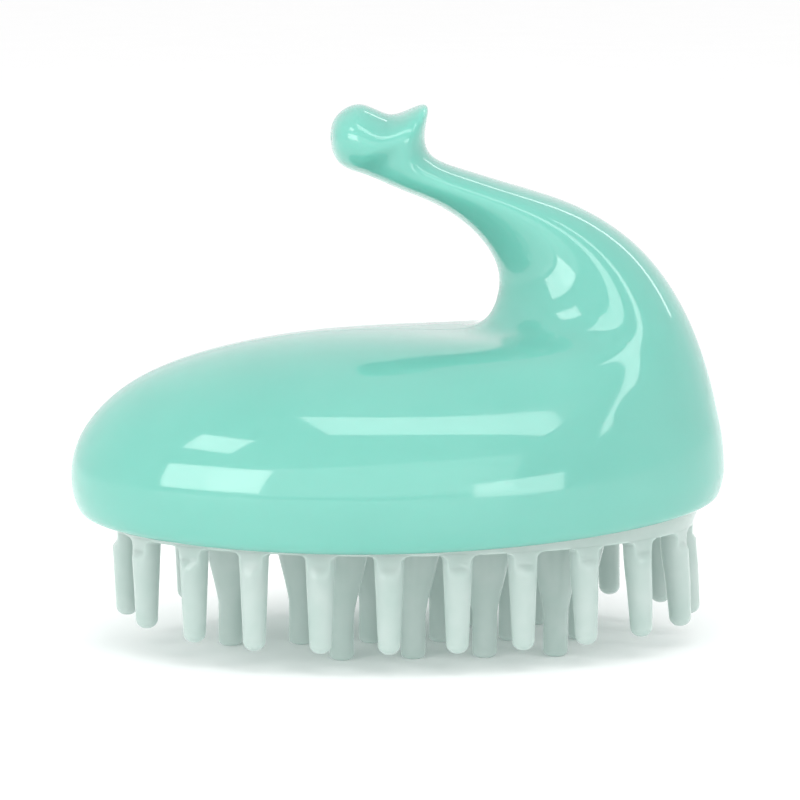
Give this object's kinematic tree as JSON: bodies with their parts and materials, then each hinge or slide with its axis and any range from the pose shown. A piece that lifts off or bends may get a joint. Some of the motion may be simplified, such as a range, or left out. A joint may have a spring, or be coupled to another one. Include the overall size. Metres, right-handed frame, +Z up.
{
  "type": "scalp massager brush",
  "caption": "Hand-held scalp massager: a smooth hollow shell with a curled finger hook over its back and a washable pad of soft massage fingers under it.",
  "frame": {"origin": "on the standing surface, under the middle of the object's length and width", "axes": "+X towards the heel, -X towards the nose, +Y to the object's right side, +Z up"},
  "size_m": [0.1112, 0.0748, 0.0918],
  "materials": {
    "shell": "high gloss moulded ABS, mint green",
    "base_plate": "moulded ABS, mint green, satin",
    "screws": "plain stainless steel",
    "silicone": "translucent silicone rubber, smooth"
  },
  "bodies": {
    "shell": {"shell_left": "shell", "shell_right": "shell", "seam_pins": "screws", "base_plate": "base_plate", "plate_screws": "screws"},
    "pad": {"pad": "silicone"},
    "ring_row_01": {"ring_row_01": "silicone"},
    "ring_row_02": {"ring_row_02": "silicone"},
    "ring_row_03": {"ring_row_03": "silicone"},
    "ring_row_04": {"ring_row_04": "silicone"},
    "ring_row_05": {"ring_row_05": "silicone"},
    "ring_row_06": {"ring_row_06": "silicone"},
    "ring_row_07": {"ring_row_07": "silicone"},
    "ring_row_08": {"ring_row_08": "silicone"},
    "ring_row_09": {"ring_row_09": "silicone"},
    "ring_row_10": {"ring_row_10": "silicone"},
    "ring_row_11": {"ring_row_11": "silicone"},
    "ring_row_12": {"ring_row_12": "silicone"},
    "long_row_01": {"long_row_01": "silicone"},
    "long_row_02": {"long_row_02": "silicone"},
    "long_row_03": {"long_row_03": "silicone"},
    "long_row_04": {"long_row_04": "silicone"},
    "long_row_05": {"long_row_05": "silicone"},
    "long_row_06": {"long_row_06": "silicone"},
    "long_row_07": {"long_row_07": "silicone"},
    "long_row_08": {"long_row_08": "silicone"},
    "long_row_09": {"long_row_09": "silicone"},
    "long_row_10": {"long_row_10": "silicone"}
  },
  "joints": [
    {"name": "pad_pull", "type": "slide", "parent": "shell", "child": "pad", "axis": [0, 0, -1], "range_m": [0, 0.012]},
    {"name": "ring_flex_01", "type": "hinge", "parent": "pad", "child": "ring_row_01", "pos_m": [-0.04635, 0, 0.0194], "axis": [0, 1, 0], "range_deg": [-18, 18], "stiffness_Nm_per_rad": 0.006},
    {"name": "ring_flex_02", "type": "hinge", "parent": "pad", "child": "ring_row_02", "pos_m": [-0.04319, 0, 0.0194], "axis": [0, 1, 0], "range_deg": [-18, 18], "stiffness_Nm_per_rad": 0.012},
    {"name": "ring_flex_03", "type": "hinge", "parent": "pad", "child": "ring_row_03", "pos_m": [-0.03549, 0, 0.0194], "axis": [0, 1, 0], "range_deg": [-18, 18], "stiffness_Nm_per_rad": 0.012},
    {"name": "ring_flex_04", "type": "hinge", "parent": "pad", "child": "ring_row_04", "pos_m": [-0.0259, 0, 0.0194], "axis": [0, 1, 0], "range_deg": [-18, 18], "stiffness_Nm_per_rad": 0.012},
    {"name": "ring_flex_05", "type": "hinge", "parent": "pad", "child": "ring_row_05", "pos_m": [-0.01526, 0, 0.0194], "axis": [0, 1, 0], "range_deg": [-18, 18], "stiffness_Nm_per_rad": 0.012},
    {"name": "ring_flex_06", "type": "hinge", "parent": "pad", "child": "ring_row_06", "pos_m": [-0.00418, 0, 0.0194], "axis": [0, 1, 0], "range_deg": [-18, 18], "stiffness_Nm_per_rad": 0.012},
    {"name": "ring_flex_07", "type": "hinge", "parent": "pad", "child": "ring_row_07", "pos_m": [0.00699, 0, 0.0194], "axis": [0, 1, 0], "range_deg": [-18, 18], "stiffness_Nm_per_rad": 0.012},
    {"name": "ring_flex_08", "type": "hinge", "parent": "pad", "child": "ring_row_08", "pos_m": [0.01785, 0, 0.0194], "axis": [0, 1, 0], "range_deg": [-18, 18], "stiffness_Nm_per_rad": 0.012},
    {"name": "ring_flex_09", "type": "hinge", "parent": "pad", "child": "ring_row_09", "pos_m": [0.02847, 0, 0.0194], "axis": [0, 1, 0], "range_deg": [-18, 18], "stiffness_Nm_per_rad": 0.012},
    {"name": "ring_flex_10", "type": "hinge", "parent": "pad", "child": "ring_row_10", "pos_m": [0.03815, 0, 0.0194], "axis": [0, 1, 0], "range_deg": [-18, 18], "stiffness_Nm_per_rad": 0.012},
    {"name": "ring_flex_11", "type": "hinge", "parent": "pad", "child": "ring_row_11", "pos_m": [0.04567, 0, 0.0194], "axis": [0, 1, 0], "range_deg": [-18, 18], "stiffness_Nm_per_rad": 0.012},
    {"name": "ring_flex_12", "type": "hinge", "parent": "pad", "child": "ring_row_12", "pos_m": [0.04875, 0, 0.0194], "axis": [0, 1, 0], "range_deg": [-18, 18], "stiffness_Nm_per_rad": 0.006},
    {"name": "long_flex_01", "type": "hinge", "parent": "pad", "child": "long_row_01", "pos_m": [-0.0288, 0, 0.0194], "axis": [0, 1, 0], "range_deg": [-18, 18], "stiffness_Nm_per_rad": 0.009},
    {"name": "long_flex_02", "type": "hinge", "parent": "pad", "child": "long_row_02", "pos_m": [-0.0168, 0, 0.0194], "axis": [0, 1, 0], "range_deg": [-18, 18], "stiffness_Nm_per_rad": 0.009},
    {"name": "long_flex_03", "type": "hinge", "parent": "pad", "child": "long_row_03", "pos_m": [-0.0108, 0, 0.0194], "axis": [0, 1, 0], "range_deg": [-18, 18], "stiffness_Nm_per_rad": 0.018},
    {"name": "long_flex_04", "type": "hinge", "parent": "pad", "child": "long_row_04", "pos_m": [-0.0048, 0, 0.0194], "axis": [0, 1, 0], "range_deg": [-18, 18], "stiffness_Nm_per_rad": 0.009},
    {"name": "long_flex_05", "type": "hinge", "parent": "pad", "child": "long_row_05", "pos_m": [0.0012, 0, 0.0194], "axis": [0, 1, 0], "range_deg": [-18, 18], "stiffness_Nm_per_rad": 0.018},
    {"name": "long_flex_06", "type": "hinge", "parent": "pad", "child": "long_row_06", "pos_m": [0.0072, 0, 0.0194], "axis": [0, 1, 0], "range_deg": [-18, 18], "stiffness_Nm_per_rad": 0.009},
    {"name": "long_flex_07", "type": "hinge", "parent": "pad", "child": "long_row_07", "pos_m": [0.0132, 0, 0.0194], "axis": [0, 1, 0], "range_deg": [-18, 18], "stiffness_Nm_per_rad": 0.018},
    {"name": "long_flex_08", "type": "hinge", "parent": "pad", "child": "long_row_08", "pos_m": [0.0192, 0, 0.0194], "axis": [0, 1, 0], "range_deg": [-18, 18], "stiffness_Nm_per_rad": 0.009},
    {"name": "long_flex_09", "type": "hinge", "parent": "pad", "child": "long_row_09", "pos_m": [0.0252, 0, 0.0194], "axis": [0, 1, 0], "range_deg": [-18, 18], "stiffness_Nm_per_rad": 0.018},
    {"name": "long_flex_10", "type": "hinge", "parent": "pad", "child": "long_row_10", "pos_m": [0.0312, 0, 0.0194], "axis": [0, 1, 0], "range_deg": [-18, 18], "stiffness_Nm_per_rad": 0.009}
  ]
}
